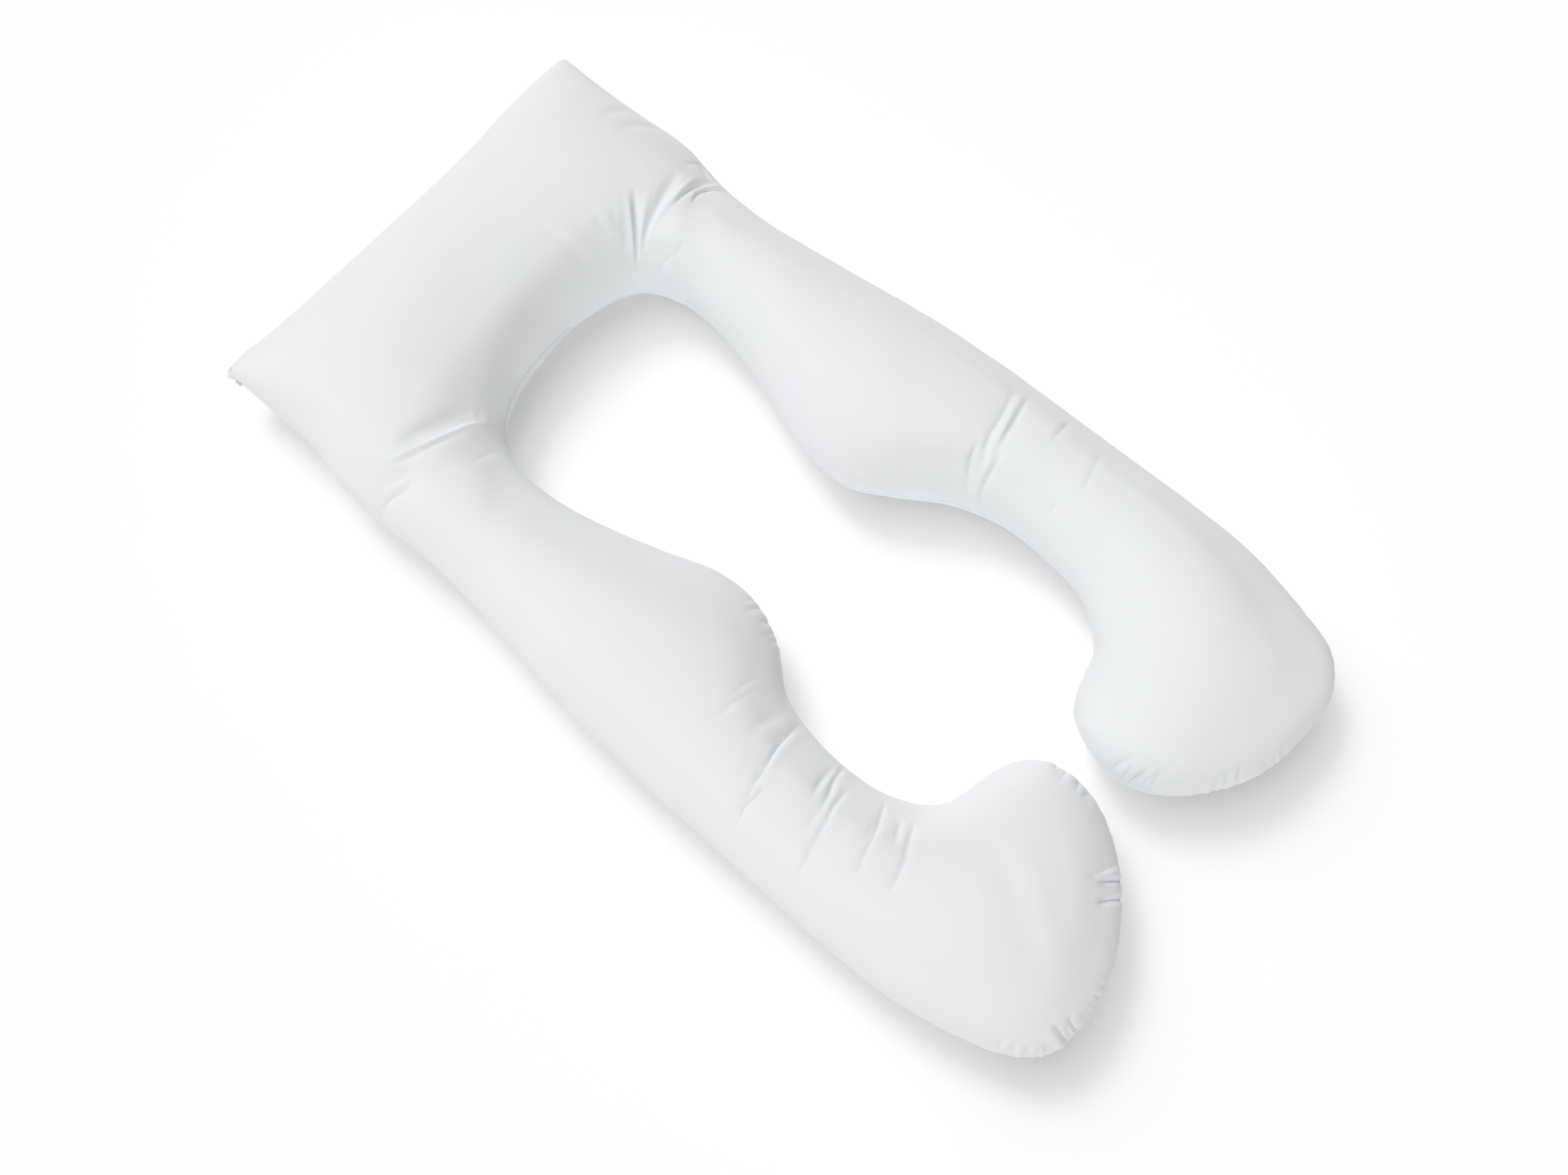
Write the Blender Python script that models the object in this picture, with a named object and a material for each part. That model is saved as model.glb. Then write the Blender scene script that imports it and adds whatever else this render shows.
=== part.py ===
"""U-shaped full-body pillow, filled with soft fibre and lying on its back.

Two white cloth panels of the same outline are sewn together round the edge and filled, so the
pillow is one closed solid: a rectangular head with two pinched corners, and two arms that swell
inwards at the belly, narrow at the knee and end in a foot that hooks inwards to a round toe.
+Y points to the head, +X to the right arm, and the pillow rests flat on z = 0.
"""
import math
from collections import namedtuple

import bmesh
import bpy
import numpy as np

# Driving dimensions, in metres.
SEAM_HEIGHT = 0.073        # height of the edge seam above the surface that the pillow lies on
LIMB_HALF_WIDTH = 0.100    # a limb of this half width stands up by LIMB_CROWN above the seam
LIMB_CROWN = 0.078
LIMB_UNDERSIDE = 0.084     # depth of the same limb below the seam, before the surface flattens it
CROWN_GROWTH = 0.60        # power by which the crown grows with the width
# How round the sides are: 1 gives an elliptic section, less a flatter top with fuller sides. The
# feet are round, the limbs flatter and the head is the flattest.
SIDE_ROUNDNESS = (0.92, 0.74, 0.74, 0.64)
ROUNDNESS_AT_Y = (-0.52, -0.36, 0.30, 0.46)
# Between the arms both panels are drawn back over the head's filling and slope more gently to
# their seam: with this roundness at the inner edge, fully so where that edge lies beyond these y.
DRAWN_BACK_ROUNDNESS = 1.35
DRAWN_BACK_AT_Y = (0.325, 0.385)
DRAWN_BACK_FROM = 0.45     # share of the way across the head at which it starts
NARROWEST_HALF_WIDTH = 0.025   # no part of a toe is taken as slimmer than this
ZIP_TAB_WIDTH = 0.012      # folded end of the zip's tape, at the left head corner
ZIP_TAB_REACH = 0.007
ZIP_TAB_THICKNESS = 0.0026
ZIP_TAB_ROUNDING = 0.0028
ZIP_TAB_FROM_CORNER = 0.018
SEAT_GAP = 0.0003

# Mesh resolution: faces across the upper panel, and upper columns for each one of the underside.
CELLS_ACROSS = 16
UNDERSIDE_STEP = 2
CREST_SMOOTHING = 6        # passes that even out the crown's height from ring to ring
FOLD_SAMPLES = 24          # points along each fold
FOLD_FADE = 0.7            # power of the sine by which a fold dies out at its ends
FOLD_END = 0.04            # share of its length at which a fold still has some depth

# The sewn outline, as sections across the pillow from the left toe round to the right toe. Each
# row gives the section's end on the outer and on the inner edge, how full the filling is there,
# and the number of rings of faces up to the next section.
Section = namedtuple("Section", "name outer_x outer_y inner_x inner_y fill rings")
SECTIONS = (
    Section("left_toe_tip", -0.016, -0.547, -0.016, -0.547, 0.95, 2),
    Section("left_toe_cap", -0.021, -0.579, -0.018, -0.513, 0.95, 2),
    Section("left_toe", -0.049, -0.632, -0.033, -0.484, 0.95, 3),
    Section("left_toe_root", -0.110, -0.693, -0.062, -0.462, 0.95, 3),
    Section("left_sole_toe", -0.188, -0.735, -0.095, -0.451, 0.95, 3),
    Section("left_sole_heel", -0.255, -0.746, -0.118, -0.446, 0.95, 3),
    Section("left_heel_low", -0.311, -0.738, -0.137, -0.441, 0.95, 3),
    Section("left_heel", -0.346, -0.702, -0.154, -0.433, 0.95, 3),
    Section("left_heel_high", -0.370, -0.640, -0.171, -0.417, 0.95, 4),
    Section("left_ankle", -0.389, -0.555, -0.187, -0.389, 0.96, 6),
    Section("left_shin", -0.396, -0.455, -0.198, -0.356, 0.97, 8),
    Section("left_knee_low", -0.396, -0.350, -0.203, -0.310, 0.97, 6),
    Section("left_knee", -0.395, -0.270, -0.201, -0.258, 0.97, 7),
    Section("left_knee_high", -0.394, -0.190, -0.182, -0.183, 0.98, 5),
    Section("left_belly_low", -0.394, -0.115, -0.129, -0.115, 1.00, 3),
    Section("left_belly", -0.391, -0.055, -0.107, -0.055, 1.00, 3),
    Section("left_belly_high", -0.388, 0.010, -0.109, 0.005, 1.00, 4),
    Section("left_waist_low", -0.377, 0.113, -0.133, 0.074, 1.00, 4),
    Section("left_waist", -0.364, 0.212, -0.163, 0.169, 1.00, 4),
    Section("left_armpit_low", -0.356, 0.312, -0.179, 0.255, 0.98, 8),
    Section("left_armpit", -0.359, 0.430, -0.174, 0.335, 0.97, 7),
    Section("left_shoulder", -0.355, 0.503, -0.160, 0.363, 0.98, 5),
    Section("left_neck", -0.342, 0.560, -0.143, 0.379, 1.00, 4),
    Section("left_cheek", -0.340, 0.660, -0.115, 0.393, 1.03, 4),
    Section("left_corner", -0.341, 0.744, -0.088, 0.404, 1.04, 4),
    Section("left_brow", -0.250, 0.732, -0.053, 0.411, 1.04, 4),
    Section("left_crown", -0.130, 0.725, -0.021, 0.414, 1.04, 4),
    Section("head_middle", 0.005, 0.721, 0.005, 0.417, 1.04, 4),
    Section("right_crown", 0.130, 0.720, 0.031, 0.418, 1.04, 4),
    Section("right_brow", 0.255, 0.726, 0.062, 0.413, 1.04, 4),
    Section("right_corner", 0.350, 0.729, 0.093, 0.405, 1.04, 4),
    Section("right_cheek", 0.348, 0.653, 0.117, 0.397, 1.03, 5),
    Section("right_neck", 0.349, 0.560, 0.145, 0.382, 1.00, 7),
    Section("right_shoulder", 0.352, 0.470, 0.163, 0.355, 0.98, 8),
    Section("right_armpit", 0.339, 0.385, 0.172, 0.321, 0.97, 6),
    Section("right_armpit_low", 0.338, 0.300, 0.171, 0.275, 0.98, 4),
    Section("right_waist", 0.349, 0.205, 0.162, 0.212, 1.00, 4),
    Section("right_waist_low", 0.365, 0.095, 0.136, 0.130, 1.00, 4),
    Section("right_belly_high", 0.379, -0.018, 0.106, 0.025, 1.00, 4),
    Section("right_belly", 0.384, -0.110, 0.106, -0.045, 1.00, 5),
    Section("right_belly_low", 0.386, -0.185, 0.136, -0.101, 0.99, 6),
    Section("right_knee_high", 0.388, -0.260, 0.182, -0.174, 0.97, 5),
    Section("right_knee", 0.389, -0.335, 0.203, -0.239, 0.97, 4),
    Section("right_shin", 0.391, -0.430, 0.204, -0.320, 0.97, 4),
    Section("right_ankle", 0.388, -0.525, 0.191, -0.393, 0.96, 4),
    Section("right_heel_high", 0.370, -0.623, 0.166, -0.433, 0.95, 4),
    Section("right_heel", 0.340, -0.706, 0.135, -0.458, 0.95, 3),
    Section("right_heel_low", 0.295, -0.735, 0.108, -0.465, 0.95, 3),
    Section("right_sole", 0.225, -0.737, 0.080, -0.473, 0.95, 3),
    Section("right_toe_root", 0.150, -0.724, 0.056, -0.487, 0.95, 3),
    Section("right_toe", 0.087, -0.686, 0.040, -0.513, 0.95, 3),
    Section("right_toe_cap", 0.038, -0.630, 0.028, -0.548, 0.95, 3),
    Section("right_toe_tip", 0.024, -0.585, 0.024, -0.585, 0.95, 0),
)
SQUARE_CORNERS = ("left_corner", "right_corner")

# Main folds of the upper panel, each a curve through three points. A positive depth is a trough,
# a negative one a ridge; half_width is measured across the fold.
Fold = namedtuple("Fold", "name start_x start_y bend_x bend_y end_x end_y depth half_width")
FOLDS = (
    Fold("right_shoulder_trough", 0.294, 0.440, 0.240, 0.415, 0.190, 0.401, 0.010, 0.016),
    Fold("right_shoulder_ridge", 0.305, 0.410, 0.248, 0.402, 0.196, 0.386, -0.005, 0.013),
    Fold("right_shoulder_nip", 0.340, 0.386, 0.302, 0.389, 0.264, 0.381, 0.008, 0.011),
    Fold("right_neck_trough", 0.222, 0.455, 0.185, 0.416, 0.154, 0.391, 0.008, 0.012),
    Fold("left_shoulder_trough", -0.270, 0.434, -0.224, 0.420, -0.178, 0.403, 0.009, 0.015),
    Fold("left_shoulder_ridge", -0.285, 0.424, -0.224, 0.404, -0.168, 0.386, -0.005, 0.013),
    Fold("left_shoulder_nip", -0.290, 0.392, -0.344, 0.412, -0.360, 0.384, 0.006, 0.011),
    Fold("left_knee_fold", -0.200, -0.222, -0.265, -0.233, -0.356, -0.250, 0.007, 0.012),
    Fold("left_shin_fold", -0.232, -0.322, -0.299, -0.344, -0.356, -0.354, 0.005, 0.012),
    Fold("left_ankle_fold", -0.210, -0.374, -0.261, -0.398, -0.314, -0.410, 0.004, 0.012),
    Fold("left_heel_fold", -0.202, -0.414, -0.249, -0.444, -0.298, -0.458, 0.006, 0.013),
    Fold("right_knee_fold", 0.352, -0.145, 0.290, -0.168, 0.206, -0.178, 0.007, 0.013),
    Fold("right_knee_crease", 0.362, -0.170, 0.318, -0.186, 0.272, -0.192, 0.005, 0.011),
)


def edge_points(ends, square, rings):
    """Points along a sewn edge that passes smoothly through the sections' ends.

    A curve is broken at a square corner. The first and last ends are the points beyond the two
    toe tips, which give the edge its direction there.
    """
    chords = []
    for near, far in zip(ends, ends[1:]):
        chords.append(max(np.linalg.norm(far - near), 1e-6))
    before = []
    after = []
    for index in range(1, len(ends) - 1):
        slope_in = (ends[index] - ends[index - 1]) / chords[index - 1]
        slope_out = (ends[index + 1] - ends[index]) / chords[index]
        share = chords[index] / (chords[index - 1] + chords[index])
        smooth = slope_in * share + slope_out * (1 - share)
        before.append(slope_in if square[index - 1] else smooth)
        after.append(slope_out if square[index - 1] else smooth)
    points = []
    for index in range(len(rings) - 1):
        start = ends[index + 1]
        end = ends[index + 2]
        chord = chords[index + 1]
        for ring in range(rings[index]):
            t = ring / rings[index]
            points.append(start * (1 + 2 * t) * (1 - t) ** 2
                          + after[index] * chord * t * (1 - t) ** 2
                          + end * t ** 2 * (3 - 2 * t)
                          + before[index + 1] * chord * t ** 2 * (t - 1))
    points.append(ends[-2])
    return np.array(points)


def shares_across():
    """How far across the panel the points of a ring lie, from the outer edge to the inner one.

    The points bunch up towards both edges, where the cloth turns down to the seam.
    """
    return (1 - np.cos(np.linspace(0, math.pi, CELLS_ACROSS + 1))) / 2


def lay_out_panel():
    """Plan of one panel: rings of points from the outer edge to the inner one, and their filling."""
    outer = [np.array((row.outer_x, row.outer_y)) for row in SECTIONS]
    inner = [np.array((row.inner_x, row.inner_y)) for row in SECTIONS]
    square = [row.name in SQUARE_CORNERS for row in SECTIONS]
    never = [False] * len(SECTIONS)
    rings = [row.rings for row in SECTIONS]
    outer_edge = edge_points([inner[1]] + outer + [inner[-2]], square, rings)
    inner_edge = edge_points([outer[1]] + inner + [outer[-2]], never, rings)
    across = shares_across()[:, None]
    plan = outer_edge[:, None] * (1 - across) + inner_edge[:, None] * across
    stations = np.concatenate(([0], np.cumsum(rings[:-1])))
    filling = np.interp(np.arange(len(plan)), stations, [row.fill for row in SECTIONS])
    return plan, filling


def panel_triangles(ring_count):
    """Triangles of a panel, as index triples into its points taken ring by ring."""
    row = CELLS_ACROSS + 1
    triangles = []
    for ring in range(ring_count - 1):
        for cell in range(CELLS_ACROSS):
            here = ring * row + cell
            triangles.append((here, here + 1, here + row))
            triangles.append((here + 1, here + row + 1, here + row))
    return np.array(triangles)


def crown_of(plan):
    """Half width of the limb that would stand up as high as each point, found as a soap film is.

    The film over the sewn outline that bulges under an even pressure obeys a Poisson equation, and
    over a straight limb its root is the limb's half circle.
    """
    ring_count = len(plan)
    row = CELLS_ACROSS + 1
    points = plan.reshape(-1, 2)
    triangles = panel_triangles(ring_count)
    stiffness = np.zeros((len(points), len(points)))
    load = np.zeros(len(points))
    a, b, c = (points[triangles[:, corner]] for corner in range(3))
    area = 0.5 * np.abs((b - a)[:, 0] * (c - a)[:, 1] - (b - a)[:, 1] * (c - a)[:, 0])
    solid = area > 1e-10
    opposite = (c - b, a - c, b - a)
    for i in range(3):
        np.add.at(load, triangles[solid, i], area[solid] / 3)
        for j in range(3):
            dot = (opposite[i] * opposite[j]).sum(axis=1)
            np.add.at(stiffness, (triangles[solid, i], triangles[solid, j]),
                      dot[solid] / (4 * area[solid]))
    free = np.zeros((ring_count, row), dtype=bool)
    free[1:-1, 1:-1] = True
    free = np.flatnonzero(free.ravel())
    film = np.zeros(len(points))
    film[free] = np.linalg.solve(stiffness[np.ix_(free, free)], load[free])
    return np.sqrt(2 * np.maximum(film, 0)).reshape(ring_count, row)


def smoothed(values, passes):
    """Values with each one drawn towards its neighbours, the two ends held."""
    for _ in range(passes):
        values = np.concatenate((values[:1], (values[:-2] + 2 * values[1:-1] + values[2:]) / 4,
                                 values[-1:]))
    return values


def raise_panel(plan, filling):
    """Heights of the upper panel above the seam, and depths of the underside below it."""
    crown = crown_of(plan)
    widest = smoothed(np.maximum(crown.max(axis=1), NARROWEST_HALF_WIDTH), CREST_SMOOTHING)
    growth = filling * (widest / LIMB_HALF_WIDTH) ** CROWN_GROWTH
    roundness = np.interp(plan[:, :, 1].mean(axis=1), ROUNDNESS_AT_Y, SIDE_ROUNDNESS)[:, None]
    inwards = np.clip((shares_across() - DRAWN_BACK_FROM) / (1 - DRAWN_BACK_FROM), 0, 1)
    drawn_back = np.interp(plan[:, -1, 1], DRAWN_BACK_AT_Y, (0, 1))[:, None]
    drawn_back = drawn_back * inwards ** 2 * (3 - 2 * inwards)
    roundness = roundness + (DRAWN_BACK_ROUNDNESS - roundness) * drawn_back
    profile = (crown / widest[:, None]) ** roundness
    upper = LIMB_CROWN * growth[:, None] * profile
    under = LIMB_UNDERSIDE * growth[:, None] * profile
    return upper, np.minimum(under, SEAM_HEIGHT)


def fold_relief(plan):
    """Depth of the folds at each point of the plan, troughs positive."""
    relief = np.zeros(plan.shape[:2])
    along = np.linspace(0, 1, FOLD_SAMPLES)
    for fold in FOLDS:
        start = np.array((fold.start_x, fold.start_y))
        bend = np.array((fold.bend_x, fold.bend_y))
        end = np.array((fold.end_x, fold.end_y))
        handle = 2 * bend - (start + end) / 2
        route = (start * ((1 - along) ** 2)[:, None] + handle * (2 * along * (1 - along))[:, None]
                 + end * (along ** 2)[:, None])
        distance = np.linalg.norm(plan[:, :, None] - route, axis=3)
        nearest = along[distance.argmin(axis=2)]
        fade = np.sin(math.pi * np.clip(nearest, FOLD_END, 1 - FOLD_END)) ** FOLD_FADE
        relief += fold.depth * fade * np.exp(-(distance.min(axis=2) / fold.half_width) ** 2)
    return relief


def make_material(name, colour, roughness):
    material = bpy.data.materials.new(name)
    material.use_nodes = True
    shader = material.node_tree.nodes["Principled BSDF"]
    shader.inputs["Base Color"].default_value = (*colour, 1)
    shader.inputs["Roughness"].default_value = roughness
    shader.inputs["Metallic"].default_value = 0
    return material


def add_object(name, shape, material):
    mesh = bpy.data.meshes.new(name)
    shape.to_mesh(mesh)
    shape.free()
    mesh.shade_smooth()
    mesh.materials.append(material)
    piece = bpy.data.objects.new(name, mesh)
    bpy.context.scene.collection.objects.link(piece)
    return piece


def build_pillow(material):
    """The filled pillow, as rings of faces from one toe tip to the other."""
    plan, filling = lay_out_panel()
    upper, under = raise_panel(plan, filling)
    # Folds keep their depth over the top and die out down the sides, before the seam.
    upper -= fold_relief(plan) * np.minimum(upper / (LIMB_CROWN / 2), 1)
    flat = plan.reshape(-1, 2)
    middle = (flat.min(axis=0) + flat.max(axis=0)) / 2
    plan = plan - middle
    shape = bmesh.new()
    tips = []
    rings = []
    for ring in range(len(plan)):
        if ring in (0, len(plan) - 1):
            tips.append(shape.verts.new((*plan[ring, 0], SEAM_HEIGHT)))
            continue
        loop = []
        for cell in range(CELLS_ACROSS + 1):
            loop.append(shape.verts.new((*plan[ring, cell], SEAM_HEIGHT + upper[ring, cell])))
        for cell in range(CELLS_ACROSS - UNDERSIDE_STEP, 0, -UNDERSIDE_STEP):
            loop.append(shape.verts.new((*plan[ring, cell], SEAM_HEIGHT - under[ring, cell])))
        rings.append(loop)
    around = len(rings[0])
    for near, far in zip(rings, rings[1:]):
        for index in range(around):
            following = (index + 1) % around
            shape.faces.new((near[index], near[following], far[following], far[index]))
    for tip, loop in ((tips[0], rings[0]), (tips[1], rings[-1])):
        for index in range(around):
            shape.faces.new((tip, loop[index], loop[(index + 1) % around]))
    bmesh.ops.recalc_face_normals(shape, faces=shape.faces)
    if shape.calc_volume(signed=True) < 0:
        bmesh.ops.reverse_faces(shape, faces=shape.faces)
    return add_object("pillow", shape, material), middle


def build_zip_tab(material, middle):
    """The folded end of the zip's tape, standing out of the seam beside the left head corner."""
    corner = next(row for row in SECTIONS if row.name == "left_corner")
    cheek = next(row for row in SECTIONS if row.name == "left_cheek")
    slope = math.atan2(corner.outer_y - cheek.outer_y, corner.outer_x - cheek.outer_x)
    shape = bmesh.new()
    bmesh.ops.create_cube(shape, size=1)
    bmesh.ops.scale(shape, verts=shape.verts,
                    vec=(ZIP_TAB_WIDTH, ZIP_TAB_REACH, ZIP_TAB_THICKNESS))
    outer_ends = [edge for edge in shape.edges
                  if abs(edge.verts[0].co.z - edge.verts[1].co.z) > ZIP_TAB_THICKNESS / 2
                  and edge.verts[0].co.y > 0]
    bmesh.ops.bevel(shape, geom=outer_ends, offset=ZIP_TAB_ROUNDING, offset_type="OFFSET",
                    affect="EDGES", segments=4, profile=0.5, material=-1)
    tab = add_object("zip_end", shape, material)
    along = np.array((math.cos(slope), math.sin(slope)))
    outward = np.array((-along[1], along[0]))
    corner_point = np.array((corner.outer_x, corner.outer_y)) - middle
    place = corner_point - along * ZIP_TAB_FROM_CORNER + outward * (ZIP_TAB_REACH / 2 + SEAT_GAP)
    tab.location = (*place, SEAM_HEIGHT)
    tab.rotation_euler = (0, 0, slope)
    return tab


for leftover in list(bpy.data.objects):
    bpy.data.objects.remove(leftover)
cotton = make_material("white_cotton", (0.80, 0.81, 0.83), 0.85)
zip_tape = make_material("zip_tape", (0.78, 0.78, 0.79), 0.7)
pillow, plan_middle = build_pillow(cotton)
build_zip_tab(zip_tape, plan_middle)
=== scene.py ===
"""The finish of the U-shaped body pillow: its sewn and filled cover, the end of its zip, and a
plain pale studio round it. Lengths are in metres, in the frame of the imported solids."""
import math
from collections import namedtuple

import bmesh
import bpy
import numpy as np
from mathutils import Matrix, Vector, noise
from mathutils.bvhtree import BVHTree
from mathutils.kdtree import KDTree


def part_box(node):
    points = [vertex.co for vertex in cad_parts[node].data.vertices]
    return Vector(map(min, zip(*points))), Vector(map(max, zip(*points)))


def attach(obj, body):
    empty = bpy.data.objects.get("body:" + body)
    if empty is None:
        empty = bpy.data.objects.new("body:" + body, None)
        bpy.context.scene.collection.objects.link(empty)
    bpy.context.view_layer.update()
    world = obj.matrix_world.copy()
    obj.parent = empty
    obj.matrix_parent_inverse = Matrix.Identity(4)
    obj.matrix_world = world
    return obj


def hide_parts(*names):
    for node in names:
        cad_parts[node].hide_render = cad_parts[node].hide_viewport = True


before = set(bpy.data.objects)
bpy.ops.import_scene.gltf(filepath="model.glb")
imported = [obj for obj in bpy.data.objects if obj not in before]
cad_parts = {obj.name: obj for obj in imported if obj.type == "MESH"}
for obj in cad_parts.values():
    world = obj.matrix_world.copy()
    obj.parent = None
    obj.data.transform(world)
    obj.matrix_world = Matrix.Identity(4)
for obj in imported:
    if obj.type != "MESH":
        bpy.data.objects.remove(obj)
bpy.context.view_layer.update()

# -------------------------------------------------------------------------------------------- camera
# A plain lens above the left foot, looking down at the pillow's middle. The head comes out at the
# upper left of the picture and the feet at the lower right.
CAMERA_PLACE = (-0.5479, -0.5530, 2.3165)
CAMERA_TURN_DEG = (16.879, 1.098, -49.057)
LENS_MM = 39.06
FILM_WIDTH_MM = 36.0

camera_data = bpy.data.cameras.new("camera")
camera_data.lens = LENS_MM
camera_data.sensor_width = FILM_WIDTH_MM
camera = bpy.data.objects.new("camera", camera_data)
camera.location = CAMERA_PLACE
camera.rotation_euler = [math.radians(turn) for turn in CAMERA_TURN_DEG]
bpy.context.scene.collection.objects.link(camera)
bpy.context.scene.camera = camera

# --------------------------------------------------------------------------------------------- cover
# Two panels of white woven cotton, sewn face to face round the whole outline, turned out and
# stuffed with loose fibre until they are round. The section goes through it stage by stage: the
# skin swelled by the filling, the seam, the folds, the puckers, the relief and the finish.

# The skin starts as even faces on the solid, and the filling's pressure swells it until it is taut.
SEAM_HEIGHT = 0.073            # the sewn edge's height above the floor
SAME_POINT = 0.00005
SKIN_FACE = 0.0160             # width of the skin's faces before they are halved
STARTS_SMALLER = 0.003
FILLING_PRESSURE = 1.5
SETTLING_FRAMES = 20
MOST_SWELLING = 0.008
PROUD_AT_SEAM = 0.0010         # how far the cloth may leave the solid, at the seam and on top
PROUD_ON_TOP = 0.0050
SEAM_BAND = 0.030              # the height over and under the seam that counts as beside it


def coordinates(mesh):
    """A mesh's points as an array."""
    places = np.zeros(len(mesh.vertices) * 3, np.float32)
    mesh.vertices.foreach_get("co", places)
    return places.reshape(-1, 3).astype(float)


def normals(mesh):
    """A mesh's outward directions, one for each point."""
    directions = np.zeros(len(mesh.vertices) * 3, np.float32)
    mesh.vertex_normals.foreach_get("vector", directions)
    return directions.reshape(-1, 3).astype(float)


def move_points(mesh, places):
    mesh.vertices.foreach_set("co", places.astype(np.float32).ravel())
    mesh.update()


def applied(piece):
    """Makes what a piece's modifiers give its own mesh."""
    solved = piece.evaluated_get(bpy.context.evaluated_depsgraph_get())
    mesh = bpy.data.meshes.new_from_object(solved)
    piece.modifiers.clear()
    piece.data = mesh
    return mesh


def height_over(surface, places):
    """How far each point stands out of a closed surface, and the way out there."""
    heights = np.zeros(len(places))
    outward = np.zeros((len(places), 3))
    for index, place in enumerate(places):
        near, direction, _, _ = surface.find_nearest(Vector(place))
        heights[index] = (Vector(place) - near).dot(direction)
        outward[index] = direction
    return heights, outward


def spread_out(mesh, values, passes):
    """Values on a mesh's points, each one averaged with its neighbours' again and again."""
    ends = np.zeros(len(mesh.edges) * 2, np.int32)
    mesh.edges.foreach_get("vertices", ends)
    ends = ends.reshape(-1, 2)
    count = np.bincount(ends.ravel(), minlength=len(values))
    for _ in range(passes):
        total = np.bincount(ends[:, 0], values[ends[:, 1]], len(values))
        total += np.bincount(ends[:, 1], values[ends[:, 0]], len(values))
        values = (values + total / count) / 2
    return values


core = bmesh.new()
core.from_mesh(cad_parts["pillow"].data)
bmesh.ops.remove_doubles(core, verts=core.verts, dist=SAME_POINT)
core_surface = BVHTree.FromBMesh(core)

cover_mesh = bpy.data.meshes.new("pillow_cover")
core.to_mesh(cover_mesh)
cover = bpy.data.objects.new("pillow_cover", cover_mesh)
bpy.context.scene.collection.objects.link(cover)
remesh = cover.modifiers.new("even_faces", "REMESH")
remesh.mode = "VOXEL"
remesh.voxel_size = SKIN_FACE
cover_mesh = applied(cover)
start = coordinates(cover_mesh) - normals(cover_mesh) * STARTS_SMALLER
move_points(cover_mesh, start)

cloth = cover.modifiers.new("cloth", "CLOTH")
cloth.settings.quality = 5
cloth.settings.mass = 0.3
cloth.settings.tension_stiffness = 25
cloth.settings.compression_stiffness = 15
cloth.settings.shear_stiffness = 10
cloth.settings.bending_stiffness = 0.5
cloth.settings.use_pressure = True
cloth.settings.uniform_pressure_force = FILLING_PRESSURE
cloth.settings.effector_weights.gravity = 0
cloth.collision_settings.use_collision = False
cloth.point_cache.frame_start = 1
cloth.point_cache.frame_end = SETTLING_FRAMES
for moment in range(1, SETTLING_FRAMES + 1):
    bpy.context.scene.frame_set(moment)
cover_mesh = applied(cover)
bpy.context.scene.frame_set(1)
travel = coordinates(cover_mesh) - start
length = np.linalg.norm(travel, axis=1)
travel *= np.minimum(1, MOST_SWELLING / np.maximum(length, SAME_POINT))[:, None]
move_points(cover_mesh, start + travel)

places = coordinates(cover_mesh)
height, outward = height_over(core_surface, places)
over_seam = np.minimum(np.abs(places[:, 2] - SEAM_HEIGHT) / SEAM_BAND, 1)
allowed = PROUD_AT_SEAM + (PROUD_ON_TOP - PROUD_AT_SEAM) * over_seam
places -= outward * (height - np.clip(height, -allowed, allowed))[:, None]
move_points(cover_mesh, places)
even = cover.modifiers.new("even_out", "SMOOTH")
even.factor = 0.5
even.iterations = 4
rounding = cover.modifiers.new("rounding", "SUBSURF")
rounding.levels = rounding.render_levels = 1
cover_mesh = applied(cover)

# The rounding draws the sewn edge in by a few millimetres, so it is let out again.
LET_OUT_ROUNDS = 2
LET_OUT_PASSES = 12
for _ in range(LET_OUT_ROUNDS):
    places = coordinates(cover_mesh)
    height, outward = height_over(core_surface, places)
    near_seam = np.exp(-((places[:, 2] - SEAM_HEIGHT) / SEAM_BAND) ** 2)
    let_out = spread_out(cover_mesh, -height * near_seam, LET_OUT_PASSES)
    move_points(cover_mesh, places + normals(cover_mesh) * let_out[:, None])

# Its faces are halved, and the head's corners and the toes are let out to their full points.
HALVED_BAND = 0.012
EVENING_ROUNDS = 2
EVENING_SHARE = 0.35
POINT_BAND = 0.010
POINT_ROUNDS = 3
POINT_PASSES = 5


def halve_faces(mesh, chosen):
    """Halves the faces between the chosen points and evens out the new points."""
    shape = bmesh.new()
    shape.from_mesh(mesh)
    shape.verts.ensure_lookup_table()
    halved = [edge for edge in shape.edges if all(chosen[vert.index] for vert in edge.verts)]
    bmesh.ops.subdivide_edges(shape, edges=halved, cuts=1, use_grid_fill=True)
    shape.verts.ensure_lookup_table()
    added = shape.verts[len(chosen):]
    around = {vert for new in added for edge in new.link_edges for vert in edge.verts}
    for _ in range(EVENING_ROUNDS):
        bmesh.ops.smooth_vert(shape, verts=list(around), factor=EVENING_SHARE,
                              use_axis_x=True, use_axis_y=True, use_axis_z=True)
    shape.to_mesh(mesh)
    shape.free()


halve_faces(cover_mesh, np.abs(coordinates(cover_mesh)[:, 2] - SEAM_HEIGHT) < HALVED_BAND)
for _ in range(POINT_ROUNDS):
    places = coordinates(cover_mesh)
    height, outward = height_over(core_surface, places)
    near_seam = np.exp(-((places[:, 2] - SEAM_HEIGHT) / POINT_BAND) ** 2)
    let_out = spread_out(cover_mesh, -height * near_seam, POINT_PASSES)
    move_points(cover_mesh, places + outward * let_out[:, None])

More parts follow.
